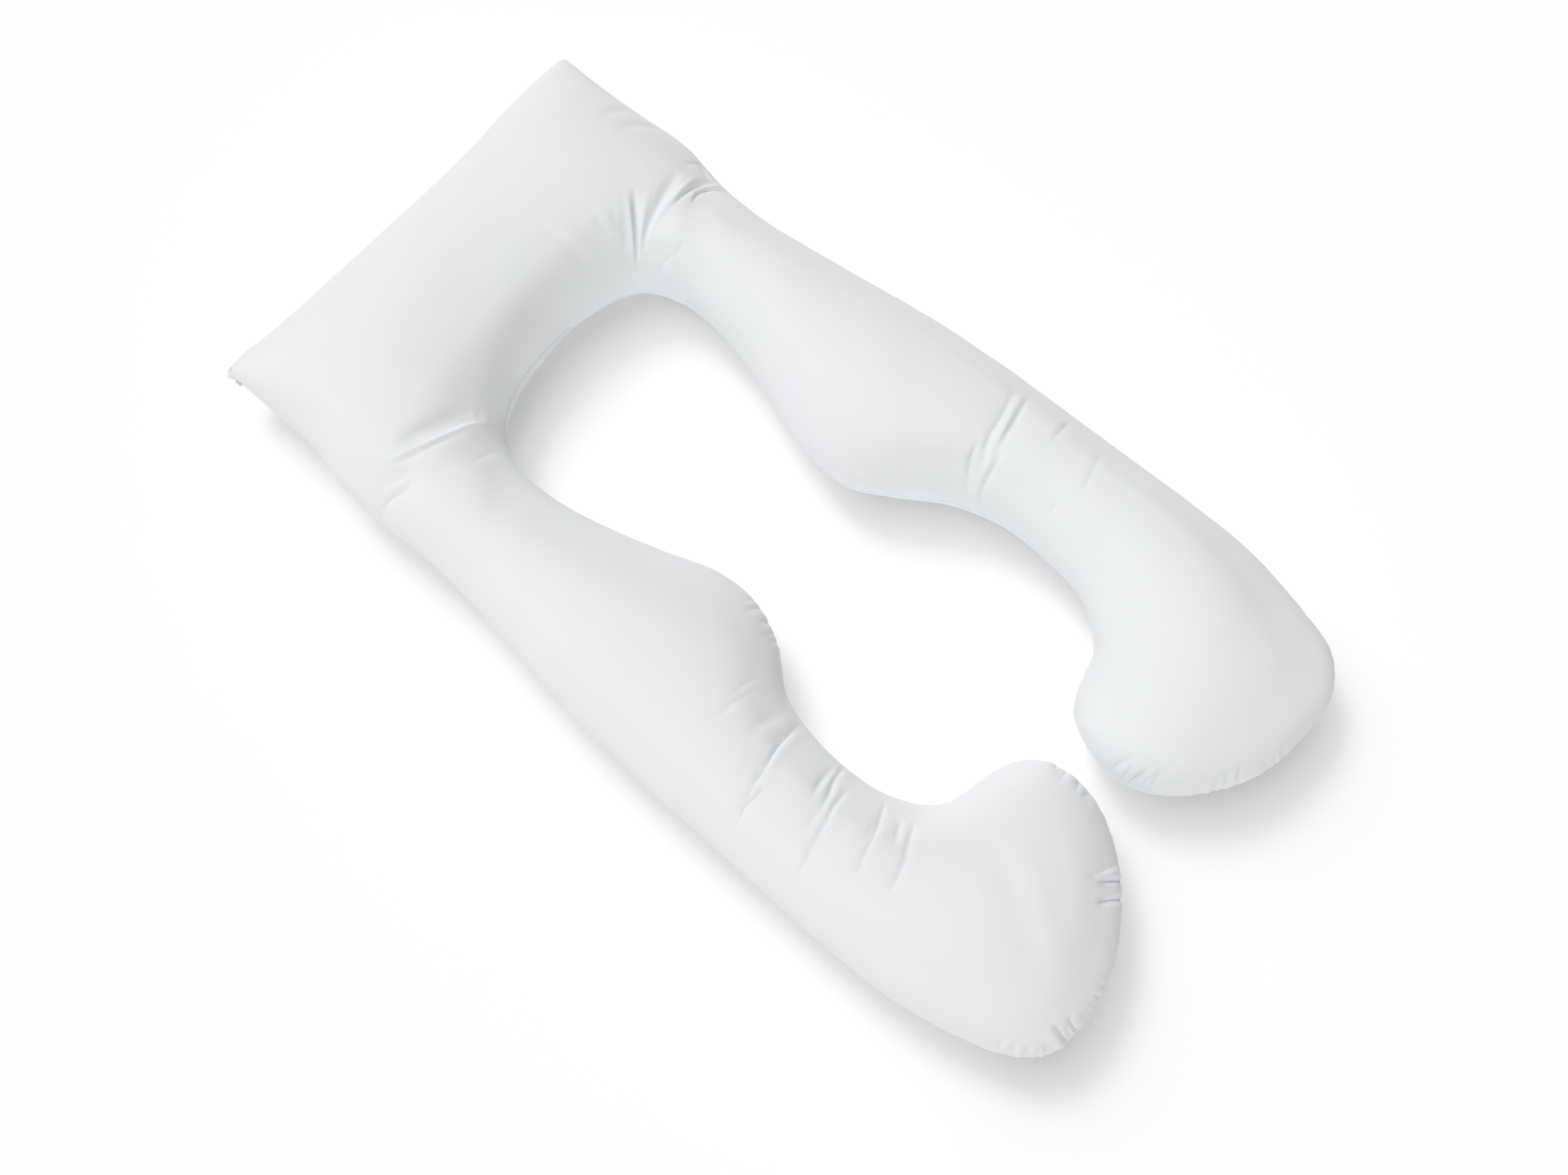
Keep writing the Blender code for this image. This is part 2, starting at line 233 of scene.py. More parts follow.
# The seam. The panels' edges are overlocked together and turned inside, so only a narrow valley
# shows, a little gathered where the thread draws the cloth in. Between the arms the seam climbs
# over the widest line at the left and dips under it at the right.
SEAM_STEP = 0.001
SIDEWAYS_STEPS = 4             # how many steps each way give the outline's direction
SEAM_LOOK_FROM = 0.04
Lift = namedtuple("Lift", "x y rise")
SEAM_LIFTS = (
    Lift(-0.165, 0.335, 0.000),
    Lift(-0.148, 0.374, 0.009),
    Lift(-0.124, 0.390, 0.013),
    Lift(-0.058, 0.410, 0.012),
    Lift(-0.008, 0.416, 0.008),
    Lift(0.031, 0.418, 0.001),
    Lift(0.082, 0.408, -0.007),
    Lift(0.130, 0.391, -0.014),
    Lift(0.155, 0.366, -0.012),
    Lift(0.168, 0.310, 0.000),
)


def sewn_edge(shape):
    """The loop of points along the solid's sewn edge, counterclockwise from above."""
    edges = {}
    for edge in shape.edges:
        if all(abs(vert.co.z - SEAM_HEIGHT) < SAME_POINT for vert in edge.verts):
            for vert in edge.verts:
                edges.setdefault(vert, []).append(edge.other_vert(vert))
    first = max(edges, key=lambda vert: vert.co.y)
    loop = [first]
    previous = None
    here = first
    while True:
        following = next(vert for vert in edges[here] if vert is not previous)
        if following is first:
            break
        loop.append(following)
        previous, here = here, following
    points = np.array([vert.co[:2] for vert in loop])
    turned = np.roll(points, -1, axis=0)
    if (points[:, 0] * turned[:, 1] - points[:, 1] * turned[:, 0]).sum() < 0:
        points = points[::-1]
    return points


def even_steps(points, step):
    """A closed plan line cut into equal steps."""
    closed = np.vstack((points, points[:1]))
    length = np.concatenate(([0], np.cumsum(np.linalg.norm(np.diff(closed, axis=0), axis=1))))
    stations = np.linspace(0, length[-1], int(length[-1] / step), endpoint=False)
    return np.column_stack([np.interp(stations, length, closed[:, axis]) for axis in (0, 1)])


def surface_of(mesh):
    shape = bmesh.new()
    shape.from_mesh(mesh)
    surface = BVHTree.FromBMesh(shape)
    shape.free()
    return surface


outline = even_steps(sewn_edge(core), SEAM_STEP)
core.free()
sideways = np.roll(outline, -SIDEWAYS_STEPS, axis=0) - np.roll(outline, SIDEWAYS_STEPS, axis=0)
sideways = np.column_stack((sideways[:, 1], -sideways[:, 0]))
sideways /= np.linalg.norm(sideways, axis=1)[:, None]

# The seam turns sharply at the head's two corners, where the cloth is drawn out to a point.
CORNER_FINE = 0.030
CORNER_HALVINGS = 2
CORNER_PASSES = 3
CORNER_REACH = 0.007
for side in (1, -1):
    tip = np.array((*outline[(outline[:, 0] * side + outline[:, 1]).argmax()], SEAM_HEIGHT))
    for _ in range(CORNER_HALVINGS):
        halve_faces(cover_mesh, np.linalg.norm(coordinates(cover_mesh) - tip, axis=1) < CORNER_FINE)
    for _ in range(POINT_ROUNDS):
        places = coordinates(cover_mesh)
        near = np.flatnonzero(np.linalg.norm(places - tip, axis=1) < CORNER_FINE)
        height, outward = height_over(core_surface, places[near])
        share = 1 - np.linalg.norm(places[near] - tip, axis=1) / CORNER_FINE
        let_out = np.zeros(len(places))
        let_out[near] = -height * np.minimum(share * 2, 1)
        places[near] += outward * spread_out(cover_mesh, let_out, CORNER_PASSES)[near, None]
        move_points(cover_mesh, places)
    gap = np.linalg.norm(places - tip, axis=1)
    drawn = np.clip(1 - (gap - gap.min()) / CORNER_REACH, 0, 1) ** 2
    move_points(cover_mesh, places + drawn[:, None] * (tip - places[gap.argmin()]))
cover_surface = surface_of(cover_mesh)


def station_of(x, y):
    """The step of the outline that lies nearest to a place."""
    return int(np.argmin((outline[:, 0] - x) ** 2 + (outline[:, 1] - y) ** 2))


lifts = sorted((station_of(row.x, row.y), row.rise) for row in SEAM_LIFTS)
rise = np.interp(np.arange(len(outline)), *zip(*lifts), left=0, right=0)
seam_line = np.zeros((len(outline), 3))
for index, (place, direction) in enumerate(zip(outline, sideways)):
    level = SEAM_HEIGHT + rise[index]
    origin = Vector((*(place + direction * SEAM_LOOK_FROM), level))
    hit = cover_surface.ray_cast(origin, Vector((*-direction, 0)))[0]
    seam_line[index] = hit if hit else (*place, level)

# The folds. Where an arm leaves the head or bends at the knee, the cloth has too little room and
# buckles across the arm. Each fold is a route over the upper panel, with the depth of its trough,
# its width at the start and the height of its lip, the ridge that the trough pushes up on one side.
# Its taper is the share of the width that is left at its end. Its crease, from 0 to 0.6, is how much shade
# is painted into the colour at the bottom of the trough, and comes from its steepness where none is given.
ROUTE_STEP = 0.002
FOLD_FADE = 0.6
FOLD_ENDS = 0.03               # the share at each end of a route where the fold stops fading
LIP_PLACE = 1.9                # the lip's distance from the trough and its width, in trough widths
LIP_WIDTH = 1.3
LIP_REACH = 2.5                # how far out the lip is followed, in lip widths
Fold = namedtuple("Fold", "name depth width lip route taper crease", defaults=(1, None))
FOLDS = (
    # The right shoulder. A lip above 0 lies on the left of the route's way, one below 0 on its right.
    Fold("right_nip", 0.0036, 0.0034, -0.0018,
         ((0.336, 0.374), (0.325, 0.386), (0.312, 0.392), (0.292, 0.394), (0.274, 0.388)), 0.7),
    Fold("right_lens", 0.0064, 0.0062, 0,
         ((0.328, 0.401), (0.307, 0.404), (0.287, 0.405), (0.269, 0.405), (0.255, 0.403)), 0.5),
    Fold("right_border", -0.0030, 0.0042, 0,
         ((0.312, 0.416), (0.299, 0.414), (0.281, 0.412), (0.263, 0.410), (0.233, 0.409),
          (0.200, 0.405), (0.186, 0.400)), 0.7),
    Fold("right_trough", 0.0060, 0.0100, 0,
         ((0.300, 0.435), (0.273, 0.428), (0.249, 0.422), (0.222, 0.415), (0.196, 0.407),
          (0.180, 0.399)), 0.35),
    Fold("right_between", -0.0022, 0.0060, 0,
         ((0.242, 0.440), (0.221, 0.431), (0.195, 0.416), (0.172, 0.402)), 0.6),
    Fold("right_neck", 0.0046, 0.0056, 0,
         ((0.226, 0.456), (0.201, 0.430), (0.185, 0.416), (0.169, 0.404), (0.156, 0.395)), 0.5),
    Fold("right_neck_lip", -0.0022, 0.0040, 0,
         ((0.214, 0.456), (0.189, 0.430), (0.172, 0.413), (0.158, 0.399)), 0.7),
    Fold("right_soft", 0.0016, 0.0070, 0, ((0.203, 0.460), (0.178, 0.433), (0.156, 0.413)), 0.6),
    Fold("right_corner", 0.0040, 0.0055, 0, ((0.336, 0.432), (0.333, 0.418), (0.330, 0.403))),
    Fold("right_low_a", 0.0012, 0.0034, 0.0005,
         ((0.220, 0.357), (0.207, 0.357), (0.192, 0.356)), 1, 0.36),
    Fold("right_low_b", 0.0012, 0.0034, 0.0005,
         ((0.197, 0.361), (0.185, 0.365), (0.172, 0.365)), 1, 0.30),
    Fold("right_edge", 0.0022, 0.0030, 0.0010, ((0.318, 0.443), (0.331, 0.440), (0.345, 0.434))),
    Fold("right_head_a", 0.0015, 0.0080, 0.0006, ((0.286, 0.579), (0.310, 0.574), (0.334, 0.566))),
    Fold("right_head_b", 0.0016, 0.0080, 0.0006, ((0.280, 0.541), (0.318, 0.533), (0.345, 0.511))),
    Fold("head_slant_a", 0.0016, 0.0070, 0.0008, ((0.187, 0.464), (0.178, 0.450), (0.166, 0.433))),
    Fold("head_slant_b", 0.0018, 0.0080, 0.0008, ((0.157, 0.469), (0.156, 0.455), (0.158, 0.438))),
    Fold("head_slant_c", 0.0018, 0.0090, 0.0008, ((0.098, 0.512), (0.102, 0.475), (0.108, 0.434))),
    # The left shoulder.
    Fold("left_trough", 0.0078, 0.0135, 0,
         ((-0.162, 0.402), (-0.181, 0.410), (-0.209, 0.417), (-0.238, 0.427), (-0.266, 0.438)), 0.8),
    Fold("left_sharp", 0.0022, 0.0042, 0,
         ((-0.160, 0.394), (-0.179, 0.4025), (-0.204, 0.4085), (-0.240, 0.4185), (-0.266, 0.430)), 1, 0),
    Fold("left_border", -0.0034, 0.0038, 0,
         ((-0.160, 0.387), (-0.179, 0.396), (-0.204, 0.402), (-0.240, 0.412), (-0.264, 0.423),
          (-0.290, 0.434)), 0.8),
    Fold("left_thin", 0.0030, 0.0042, 0,
         ((-0.200, 0.391), (-0.235, 0.402), (-0.259, 0.410), (-0.275, 0.418), (-0.292, 0.428)), 1, 0.1),
    Fold("left_second", -0.0016, 0.0040, 0, ((-0.285, 0.396), (-0.309, 0.408), (-0.328, 0.419))),
    Fold("left_hook", 0.0026, 0.0030, 0.0008,
         ((-0.296, 0.391), (-0.312, 0.398), (-0.328, 0.407), (-0.340, 0.412), (-0.346, 0.408),
          (-0.349, 0.398), (-0.354, 0.388))),
    Fold("left_low", 0.0012, 0.0034, 0.0005,
         ((-0.180, 0.347), (-0.201, 0.351), (-0.219, 0.351)), 1, 0.32),
    # The left knee and shin.
    Fold("left_knee", 0.0048, 0.0034, 0.0022,
         ((-0.200, -0.222), (-0.224, -0.223), (-0.246, -0.225), (-0.275, -0.231), (-0.297, -0.235),
          (-0.324, -0.240)), 0.8),
    Fold("left_knee_second", 0.0028, 0.0028, 0.0012,
         ((-0.299, -0.248), (-0.327, -0.246), (-0.340, -0.246), (-0.360, -0.250))),
    Fold("left_knee_soft", 0.0024, 0.0090, 0.0010,
         ((-0.200, -0.195), (-0.229, -0.190), (-0.259, -0.184))),
    Fold("left_belly_a", 0.0018, 0.0040, 0.0008, ((-0.214, -0.152), (-0.242, -0.146), (-0.270, -0.142))),
    Fold("left_belly_b", 0.0014, 0.0040, 0.0006, ((-0.190, -0.144), (-0.209, -0.139), (-0.232, -0.136))),
    Fold("left_shin_a", 0.0032, 0.0048, 0.0012, ((-0.216, -0.294), (-0.240, -0.296), (-0.265, -0.301))),
    Fold("left_shin_b", 0.0034, 0.0040, 0.0016,
         ((-0.203, -0.302), (-0.231, -0.308), (-0.251, -0.316), (-0.270, -0.319))),
    Fold("left_shin_c", 0.0042, 0.0038, 0.0020,
         ((-0.231, -0.329), (-0.258, -0.331), (-0.279, -0.337), (-0.304, -0.342), (-0.332, -0.349),
          (-0.353, -0.353)), 0.7),
    Fold("left_shin_d", 0.0014, 0.0040, 0.0005, ((-0.262, -0.321), (-0.282, -0.322), (-0.306, -0.323))),
    Fold("left_ankle", 0.0036, 0.0040, 0.0014,
         ((-0.207, -0.375), (-0.238, -0.389), (-0.274, -0.400), (-0.304, -0.409)), 0.8),
    Fold("left_ankle_second", 0.0016, 0.0034, 0.0007,
         ((-0.236, -0.382), (-0.256, -0.388), (-0.276, -0.392))),
    Fold("left_heel_nick", 0.0026, 0.0048, 0.0008, ((-0.212, -0.406), (-0.227, -0.413), (-0.243, -0.421))),
    Fold("left_heel", 0.0042, 0.0040, 0.0016,
         ((-0.206, -0.422), (-0.234, -0.435), (-0.254, -0.445), (-0.294, -0.456))),
    Fold("left_foot_crest", 0.0016, 0.0180, 0.0016,
         ((-0.164, -0.512), (-0.182, -0.549), (-0.212, -0.596), (-0.246, -0.643), (-0.268, -0.671))),
    # The right knee.
    Fold("right_knee_a", 0.0034, 0.0046, 0,
         ((0.342, -0.146), (0.325, -0.151), (0.300, -0.158), (0.267, -0.163), (0.236, -0.176)), 0.8),
    Fold("right_knee_ridge", -0.0019, 0.0038, 0,
         ((0.342, -0.156), (0.320, -0.160), (0.295, -0.168), (0.255, -0.178), (0.236, -0.187))),
    Fold("right_knee_b", 0.0032, 0.0038, -0.0016,
         ((0.352, -0.164), (0.327, -0.170), (0.298, -0.176), (0.270, -0.181))),
    Fold("right_knee_c", 0.0022, 0.0042, -0.0014,
         ((0.249, -0.155), (0.226, -0.164), (0.200, -0.181))),
    Fold("right_knee_d", 0.0027, 0.0036, -0.0014,
         ((0.256, -0.190), (0.224, -0.195), (0.210, -0.199), (0.197, -0.208))),
    Fold("right_shin_a", 0.0024, 0.0036, -0.0010, ((0.362, -0.230), (0.335, -0.230), (0.317, -0.232))),
    Fold("right_shin_b", 0.0014, 0.0036, -0.0008, ((0.350, -0.292), (0.309, -0.302), (0.285, -0.308))),
    Fold("right_shin_c", 0.0012, 0.0030, -0.0006, ((0.256, -0.291), (0.236, -0.290))),
    Fold("right_foot_a", 0.0012, 0.0036, 0.0006, ((0.135, -0.466), (0.135, -0.484), (0.130, -0.508))),
    Fold("right_foot_b", 0.0010, 0.0036, 0.0005, ((0.196, -0.478), (0.203, -0.496), (0.210, -0.515))),
)


def smooth_route(points, step):
    """A flowing line through plan points, as closely spaced points."""
    ends = np.array(points)
    padded = np.vstack((2 * ends[0] - ends[1], ends, 2 * ends[-1] - ends[-2]))
    line = []
    for before, here, there, after in zip(padded, padded[1:], padded[2:], padded[3:]):
        count = max(int(np.linalg.norm(there - here) / step), 1)
        for share in np.arange(count) / count:
            line.append(here + 0.5 * share * (there - before + share * (
                2 * before - 5 * here + 4 * there - after + share * (
                    3 * (here - there) + after - before))))
    line.append(ends[-1])
    return np.array(line)


def laid_on(surface, line, side=1):
    """A plan line dropped on the cover's upper side, or with side -1 pressed up to its underside."""
    laid = []
    for x, y in line:
        hit = surface.ray_cast(Vector((x, y, side)), Vector((0, 0, -side)))[0]
        if hit is None:
            hit = surface.find_nearest(Vector((x, y, SEAM_HEIGHT)))[0]
        laid.append(hit)
    return np.array(laid)


def across_route(places, outward, line, reach):
    """For the points within reach of a line: their indices, the distance to it with the left side
    positive, and how far along it they lie, from 0 to 1."""
    low = line.min(axis=0) - reach
    high = line.max(axis=0) + reach
    near = np.flatnonzero(((places > low) & (places < high)).all(axis=1))
    offset = places[near][:, None] - line
    gap = np.linalg.norm(offset, axis=2)
    closest = gap.argmin(axis=1)
    way = np.gradient(line, axis=0)
    rows = np.arange(len(near))
    left = np.cross(outward[near], way[closest])
    side = np.sign((offset[rows, closest] * left).sum(axis=1))
    return near, gap[rows, closest] * side, closest / (len(line) - 1)


def fold_relief(places, outward, row, line):
    """How far a fold raises each point, and the points that it touches."""
    reach = row.width * (LIP_PLACE + LIP_REACH * LIP_WIDTH)
    near, gap, share = across_route(places, outward, line, reach)
    fade = np.sin(math.pi * np.clip(share, FOLD_ENDS, 1 - FOLD_ENDS)) ** FOLD_FADE
    width = row.width * (1 + (row.taper - 1) * share)
    trough = -row.depth * np.exp(-(gap / width) ** 2)
    if row.lip:
        lip_gap = (gap * np.sign(row.lip) / width - LIP_PLACE) / LIP_WIDTH
        trough += abs(row.lip) * np.exp(-lip_gap ** 2)
    # Past the route's two ends the fold dies out in the length of its own width.
    ends = np.minimum(np.linalg.norm(places[near] - line[0], axis=1),
                      np.linalg.norm(places[near] - line[-1], axis=1))
    past = (share == 0) | (share == 1)
    trough[past] *= np.exp(-(ends[past] / width[past]) ** 2)
    return near, trough * fade


fold_lines = [laid_on(cover_surface, smooth_route(row.route, ROUTE_STEP)) for row in FOLDS]

# The puckers. Where the seam turns, its thread gathers the cloth into short folds at right angles
# to it, most at the toes and heels. Each row is a stretch of the seam and how many lie on it.
Gather = namedtuple("Gather", "name start_x start_y end_x end_y count reach depth slant_deg")
GATHERS = (
    Gather("left_belly", -0.104, -0.054, -0.136, -0.128, 5, 0.018, 0.0020, 10),
    Gather("left_toe_top", -0.015, -0.508, -0.013, -0.532, 3, 0.020, 0.0022, 0),
    Gather("left_toe", -0.013, -0.546, -0.018, -0.584, 3, 0.022, 0.0026, 0),
    Gather("left_ball", -0.062, -0.650, -0.110, -0.695, 3, 0.046, 0.0054, 20),
    Gather("left_ball_low", -0.185, -0.734, -0.252, -0.745, 6, 0.015, 0.0018, 0),
    Gather("left_heel_low", -0.266, -0.745, -0.293, -0.743, 3, 0.023, 0.0042, 0),
    Gather("left_heel", -0.297, -0.742, -0.353, -0.682, 9, 0.014, 0.0018, 0),
    Gather("right_toe", 0.028, -0.565, 0.040, -0.630, 7, 0.021, 0.0026, -25),
    Gather("right_ball", 0.088, -0.685, 0.131, -0.713, 5, 0.014, 0.0014, -10),
    Gather("right_sole", 0.153, -0.723, 0.202, -0.734, 5, 0.014, 0.0014, 0),
    Gather("left_shoulder", -0.352, 0.430, -0.357, 0.370, 3, 0.013, 0.0013, 0),
)
PUCKER_WIDTH = 0.0032
PUCKER_LIP = 0.35              # the lip's height, as a share of the depth
PUCKER_OPENS = 1.5             # its width at the far end, in widths at the seam
PUCKER_START = 0.03
PUCKER_STEPS = 36
PUCKER_SPACING = 1.5           # above 1, the steps crowd towards the seam
PUCKER_SEED = 11
PLACE_DRIFT = 0.35             # chance moves each pucker by this share of the space for one,
SLANT_DRIFT_DEG = 14           # turns it by this much
REACH_SHARES = (0.60, 1.25)    # and gives it between these shares of its row's sizes
DEPTH_SHARES = (0.50, 1.30)
WIDTH_SHARES = (0.80, 1.35)


def pucker_folds(row, surface, chance):
    """Short folds along one stretch of the seam, on both panels."""
    first = station_of(row.start_x, row.start_y)
    last = station_of(row.end_x, row.end_y)
    folds = []
    for number in range(row.count):
        share = (number + 0.5 + chance.uniform(-PLACE_DRIFT, PLACE_DRIFT)) / row.count
        index = int(round(first + (last - first) * share))
        slant = math.radians(row.slant_deg + chance.uniform(-SLANT_DRIFT_DEG, SLANT_DRIFT_DEG))
        inward = -sideways[index]
        inward = np.array((inward[0] * math.cos(slant) - inward[1] * math.sin(slant),
                           inward[0] * math.sin(slant) + inward[1] * math.cos(slant)))
        reach = row.reach * chance.uniform(*REACH_SHARES)
        depth = row.depth * chance.uniform(*DEPTH_SHARES)
        width = PUCKER_WIDTH * chance.uniform(*WIDTH_SHARES)
        steps = np.linspace(PUCKER_START, 1, PUCKER_STEPS)[:, None] ** PUCKER_SPACING
        line = outline[index] + inward * steps * reach
        for side in (1, -1):
            lip = depth * PUCKER_LIP * chance.choice((-1, 1))
            fold = Fold(row.name, depth, width, lip, None, PUCKER_OPENS)
            folds.append((fold, laid_on(surface, line, side)))
    return folds


chance = np.random.default_rng(PUCKER_SEED)
puckers = []
for row in GATHERS:
    puckers += pucker_folds(row, cover_surface, chance)

# The slopes. Round the soles of the feet and across the head above the arms' parting the filling
# is a little thinner, so the cloth slopes more evenly to the seam. Inset is the hollow's distance
# from it.
Slope = namedtuple("Slope", "name start_x start_y end_x end_y inset depth width")
SLOPES = (
    Slope("right_sole", 0.392, -0.500, 0.060, -0.660, 0.062, 0.0040, 0.045),
    Slope("right_heel", 0.396, -0.530, 0.230, -0.715, 0.040, 0.0035, 0.045),
    Slope("left_sole", -0.016, -0.580, -0.310, -0.738, 0.030, 0.0030, 0.030),
    Slope("between_arms", -0.150, 0.360, 0.158, 0.350, 0.115, 0.0040, 0.045),
)
SLOPE_STEPS = 60
slopes = []
for row in SLOPES:
    stations = np.linspace(station_of(row.start_x, row.start_y), station_of(row.end_x, row.end_y),
                           SLOPE_STEPS).astype(int)
    line = outline[stations] - sideways[stations] * row.inset
    slopes.append((Fold(row.name, row.depth, row.width, 0, None), laid_on(cover_surface, line)))

# The relief. The seam, folds and puckers are pressed into the cover, whose faces are first made
# finer along them. A slow unevenness of the fibre filling lies under it all.
Finer = namedtuple("Finer", "by_seam by_fold lowest")       # by_fold is in fold widths
FINER = (Finer(0.0000, 2.5, 0.010), Finer(0.0032, 1.6, 0.069))
SEAM_DEPTH = 0.0016
SEAM_WIDTH = 0.0028
SEAM_SHOULDER = 0.0005
SEAM_SHOULDER_PLACE = 0.0085
SEAM_SHOULDER_WIDTH = 0.0055
SEAM_SWELLING = 0.0013         # how far the filling pushes the cloth out beside the seam
GATHER_DEPTH = 0.00016
GATHER_REACH = 0.016
GATHER_PITCHES = (0.013, 0.019, 0.031)
GATHER_WANDER = 2.5            # the gathers stray from their pitch by this many radians, this often
GATHER_WANDER_RATE = 21
STEEP_FROM = 0.55              # depth over width at which a trough begins to be a crease
STEEP_MOST = 0.60
CREASE_REACH = 0.0120          # how far the distance to a crease is kept, and how far its shade may be painted
CREASE_SHADED = 0.0036
FLATTENED = 0.0025             # the underside is pressed flat by the pillow's weight
FLATTENED_BAND = 0.012
LUMP_SIZES = (0.16, 0.07)
LUMP_HEIGHTS = (0.0022, 0.0008)


def seam_gap_of(places):
    """Each point's distance to the seam, its height over it, and the nearest step along it."""
    tree = KDTree(len(seam_line))
    for index, place in enumerate(seam_line):
        tree.insert(place, index)
    tree.balance()
    nearest = np.zeros(len(places), int)
    gap = np.zeros(len(places))
    for index, place in enumerate(places):
        _, nearest[index], gap[index] = tree.find(place)
    return gap, places[:, 2] - seam_line[nearest, 2], nearest


pressed = list(zip(FOLDS, fold_lines)) + puckers
for within in FINER:
    places = coordinates(cover_mesh)
    outward = normals(cover_mesh)
    seam_gap, _, _ = seam_gap_of(places)
    finer = seam_gap < within.by_seam
    for row, line in pressed:
        near, gap, _ = across_route(places, outward, line, row.width * (within.by_fold + 1))
        finer[near[np.abs(gap) < row.width * within.by_fold]] = True
    halve_faces(cover_mesh, finer & (places[:, 2] >= within.lowest))

places = coordinates(cover_mesh)
outward = normals(cover_mesh)
relief = np.zeros(len(places))
crease_side = np.full(len(places), CREASE_REACH)
crease_shade = np.zeros(len(places))
for row, line in pressed + slopes:
    near, raised = fold_relief(places, outward, row, line)
    relief[near] += raised
    # The bottom of a steep trough gets shade painted into the cloth's colour, kept as a signed distance to
    # the crease and a strength.
    steepness = row.crease
    if steepness is None:
        steepness = min(max(row.depth / row.width - STEEP_FROM, 0), STEEP_MOST)
    near, gap, share = across_route(places, outward, line, CREASE_REACH)
    closer = (np.abs(gap) < np.abs(crease_side[near])) & (share > 0) & (share < 1)
    near, gap, share = near[closer], gap[closer], share[closer]
    crease_side[near] = gap
    crease_shade[near] = steepness * np.sin(math.pi * share) ** FOLD_FADE * (np.abs(gap) < CREASE_SHADED)

seam_gap, over_seam, station = seam_gap_of(places)
relief -= SEAM_DEPTH * np.exp(-(seam_gap / SEAM_WIDTH) ** 2)
relief += SEAM_SHOULDER * np.exp(-((seam_gap - SEAM_SHOULDER_PLACE) / SEAM_SHOULDER_WIDTH) ** 2)
relief += SEAM_SWELLING * np.exp(-(seam_gap / SEAM_BAND) ** 2)
along = station * SEAM_STEP
gathered = np.zeros(len(places))
for pitch in GATHER_PITCHES:
    for side in (1, -1):
        on_side = np.sign(over_seam) == side
        drift = chance.uniform(0, 2 * math.pi, 2)
        stray = GATHER_WANDER * np.sin(along * GATHER_WANDER_RATE + drift[1])
        wave = np.sin(along * 2 * math.pi / pitch + drift[0] + stray)
        gathered += np.where(on_side, wave, 0)
relief += GATHER_DEPTH * gathered * np.exp(-(seam_gap / GATHER_REACH) ** 2) * (seam_gap > SEAM_WIDTH / 2)
for size, rise_of_lump in zip(LUMP_SIZES, LUMP_HEIGHTS):
    lumps = np.array([noise.noise(Vector(place / size)) for place in places])
    relief += rise_of_lump * lumps * np.minimum(seam_gap / SEAM_BAND, 1)

places += outward * relief[:, None]
places[:, 2] -= FLATTENED * np.exp(-(places[:, 2] / FLATTENED_BAND) ** 2)
places[:, 2] = np.maximum(places[:, 2], 0)
move_points(cover_mesh, places)
cover_mesh.shade_smooth()
# The signed distance to the seam, kept on the mesh for the shade painted into the colour along its valley.
seam_mask = cover_mesh.attributes.new("seam_side", "FLOAT", "POINT")
seam_mask.data.foreach_set("value", np.copysign(seam_gap, over_seam).astype(np.float32))
# The distance to the nearest crease and the strength of the shade painted there.
for name, values in (("crease_side", crease_side), ("crease_shade", crease_shade)):
    mask = cover_mesh.attributes.new(name, "FLOAT", "POINT")
    mask.data.foreach_set("value", values.astype(np.float32))

# The finish. A close plain weave, bleached white with a trace of blue. The white drifts a little from place
# to place, and shade is painted into the colour along the valley of the seam and at the bottoms of the
# sharpest creases.
COTTON_WHITE = (0.800, 0.802, 0.822)
COTTON_COOL = (0.782, 0.804, 0.812)
TINT_PATCH = 0.35
THREAD_PITCH = 0.0006
THREADS_TO_SLUBS = 0.5
SEAM_SHADE_WIDTH = 0.0016
SEAM_SHADE = 0.80              # the share of the colour left where shade is painted in the valley
CREASE_SHADE_WIDTH = 0.0011
CREASE_SHADE = 0.50            # how much of the colour the painted shade of a full crease takes away


def add_node(tree, kind, **inputs):
    """A shader node with some of its inputs set or wired. An input is named, or numbered as _0."""
    node = tree.nodes.new(kind)
    for name, value in inputs.items():
        socket = node.inputs[int(name[1:])] if name[0] == "_" else node.inputs[name.replace("_", " ")]
        if isinstance(value, bpy.types.NodeSocket):
            tree.links.new(value, socket)
        else:
            socket.default_value = value
    return node


def add_maths(tree, operation, *values):
    node = add_node(tree, "ShaderNodeMath", **{f"_{index}": value for index, value in enumerate(values)})
    node.operation = operation
    return node.outputs[0]


def add_drifting_colour(tree, share, first, second):
    """A colour that drifts between two others."""
    mix = add_node(tree, "ShaderNodeMix", _0=share)
    mix.data_type = "RGBA"
    mix.inputs[6].default_value = (*first, 1)
    mix.inputs[7].default_value = (*second, 1)
    return mix.outputs[2]


def add_band(tree, distance_name, width, inside, outside):
    """A value that changes smoothly across a line, from the distance to it that the mesh carries."""
    distance = tree.nodes.new("ShaderNodeAttribute")
    distance.attribute_name = distance_name
    band = add_node(tree, "ShaderNodeMapRange", From_Min=0, From_Max=width, To_Min=inside, To_Max=outside,
                    Value=add_maths(tree, "ABSOLUTE", distance.outputs["Fac"]))
    band.interpolation_type = "SMOOTHSTEP"
    return band.outputs[0]


